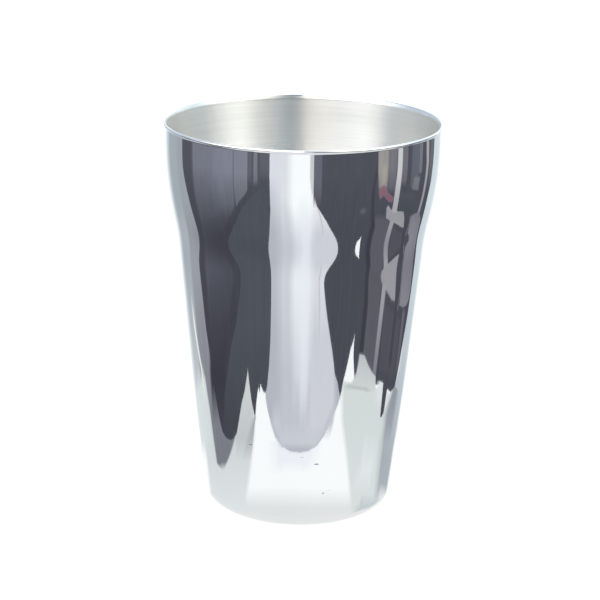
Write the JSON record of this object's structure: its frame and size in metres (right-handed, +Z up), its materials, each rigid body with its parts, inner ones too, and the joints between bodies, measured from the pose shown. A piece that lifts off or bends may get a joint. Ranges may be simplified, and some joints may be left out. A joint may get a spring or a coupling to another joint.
{
  "type": "deep drawn metal cup",
  "caption": "Tall tapered stainless cup drawn from one sheet, with a near-upright collar, soft shoulder and waist, small rounded lip and flat base.",
  "frame": {"origin": "centre of the base, on the plane the cup stands on", "axes": "+Z up along the axis of the cup, from the base to the mouth; X and Y are any two square directions, because the cup is round"},
  "size_m": [0.088, 0.088, 0.126],
  "materials": {
    "polished_steel": "mirror polished outside and on the lip, fine satin brushed round the inside"
  },
  "bodies": {
    "root": {"cup": "polished_steel"}
  },
  "joints": []
}
